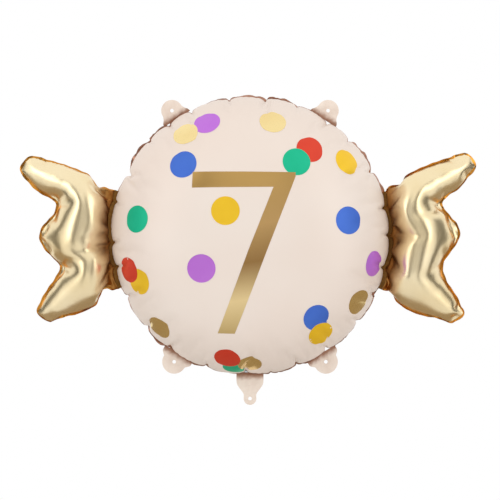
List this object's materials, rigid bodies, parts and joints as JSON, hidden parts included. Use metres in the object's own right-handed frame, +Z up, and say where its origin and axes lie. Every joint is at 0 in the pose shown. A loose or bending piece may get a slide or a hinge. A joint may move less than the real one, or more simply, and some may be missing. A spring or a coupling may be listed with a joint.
{
  "type": "foil number balloon",
  "caption": "Candy-shaped foil balloon: round body with a printed number and dots, folding wrapper wings, punched hanging tabs and a filling tail with a valve.",
  "frame": {"origin": "centre of the eyelet in the tail, where the balloon is tied", "axes": "+Z up from the tail to the round body, -Y out of the printed front, +X along the wings to the front's right"},
  "size_m": [0.55, 0.197, 0.3727],
  "materials": {
    "pink_film": "satin printed foil, pale pink",
    "gold_foil": "polished metallised film, champagne gold",
    "number_foil": "satin metallised gold print",
    "dots_red": "printed",
    "dots_blue": "printed",
    "dots_green": "printed",
    "dots_yellow": "printed",
    "dots_purple": "printed",
    "dots_gold": "metallised pale gold print",
    "clear_film": "clear film"
  },
  "bodies": {
    "body": {"body_front_panel": "pink_film", "body_back_panel": "pink_film", "body_rim_seal": "pink_film", "number_print": "number_foil", "dots_red": "dots_red", "dots_blue": "dots_blue", "dots_green": "dots_green", "dots_yellow": "dots_yellow", "dots_purple": "dots_purple", "dots_gold": "dots_gold", "valve_collar_front_film": "clear_film", "valve_collar_back_film": "clear_film", "left_wing_web": "gold_foil", "right_wing_web": "gold_foil"},
    "valve_front": {"valve_front_flap": "clear_film"},
    "valve_back": {"valve_back_flap": "clear_film"},
    "tail": {"tail_front_ply": "pink_film", "tail_back_ply": "pink_film", "tail_side_seal": "pink_film", "tail_front_film": "clear_film", "tail_back_film": "clear_film"},
    "tab_upper_left": {"tab_upper_left": "pink_film"},
    "tab_upper_right": {"tab_upper_right": "pink_film"},
    "tab_lower_left": {"tab_lower_left": "pink_film"},
    "tab_lower_right": {"tab_lower_right": "pink_film"},
    "left_wing": {"left_wing_front_panel": "gold_foil", "left_wing_back_panel": "gold_foil", "left_wing_rim_seal": "gold_foil"},
    "right_wing": {"right_wing_front_panel": "gold_foil", "right_wing_back_panel": "gold_foil", "right_wing_rim_seal": "gold_foil"}
  },
  "joints": [
    {"name": "left_wing_fold", "type": "hinge", "parent": "body", "child": "left_wing", "pos_m": [-0.168, 0, 0.197], "axis": [0, 0, -1], "range_deg": [-30, 30], "stiffness_Nm_per_rad": 0.02, "deforming": ["left_wing_web"]},
    {"name": "right_wing_fold", "type": "hinge", "parent": "body", "child": "right_wing", "pos_m": [0.168, 0, 0.197], "axis": [0, 0, 1], "range_deg": [-30, 30], "stiffness_Nm_per_rad": 0.02, "deforming": ["right_wing_web"]},
    {"name": "tail_bend", "type": "hinge", "parent": "body", "child": "tail", "pos_m": [0, 0, 0.0277], "axis": [1, 0, 0], "range_deg": [-75, 75], "stiffness_Nm_per_rad": 0.0003},
    {"name": "tab_upper_left_bend", "type": "hinge", "parent": "body", "child": "tab_upper_left", "pos_m": [-0.08972, 0, 0.34058], "axis": [-0.848, 0, -0.5299], "range_deg": [-75, 75], "stiffness_Nm_per_rad": 0.0002},
    {"name": "tab_upper_right_bend", "type": "hinge", "parent": "body", "child": "tab_upper_right", "pos_m": [0.08972, 0, 0.34058], "axis": [-0.848, 0, 0.5299], "range_deg": [-75, 75], "stiffness_Nm_per_rad": 0.0002},
    {"name": "tab_lower_left_bend", "type": "hinge", "parent": "body", "child": "tab_lower_left", "pos_m": [-0.0872, 0, 0.05188], "axis": [0.8572, 0, -0.515], "range_deg": [-75, 75], "stiffness_Nm_per_rad": 0.0002},
    {"name": "tab_lower_right_bend", "type": "hinge", "parent": "body", "child": "tab_lower_right", "pos_m": [0.0872, 0, 0.05188], "axis": [0.8572, 0, 0.515], "range_deg": [-75, 75], "stiffness_Nm_per_rad": 0.0002},
    {"name": "valve_front_open", "type": "hinge", "parent": "body", "child": "valve_front", "pos_m": [0, 0, 0.037], "axis": [1, 0, 0], "range_deg": [0, 4], "stiffness_Nm_per_rad": 0.0002},
    {"name": "valve_back_open", "type": "hinge", "parent": "body", "child": "valve_back", "pos_m": [0, 0, 0.037], "axis": [1, 0, 0], "range_deg": [-4, 0], "stiffness_Nm_per_rad": 0.0002}
  ],
  "couplings": [
    {"joint": "valve_back_open", "follows": "valve_front_open", "ratio": -1}
  ]
}
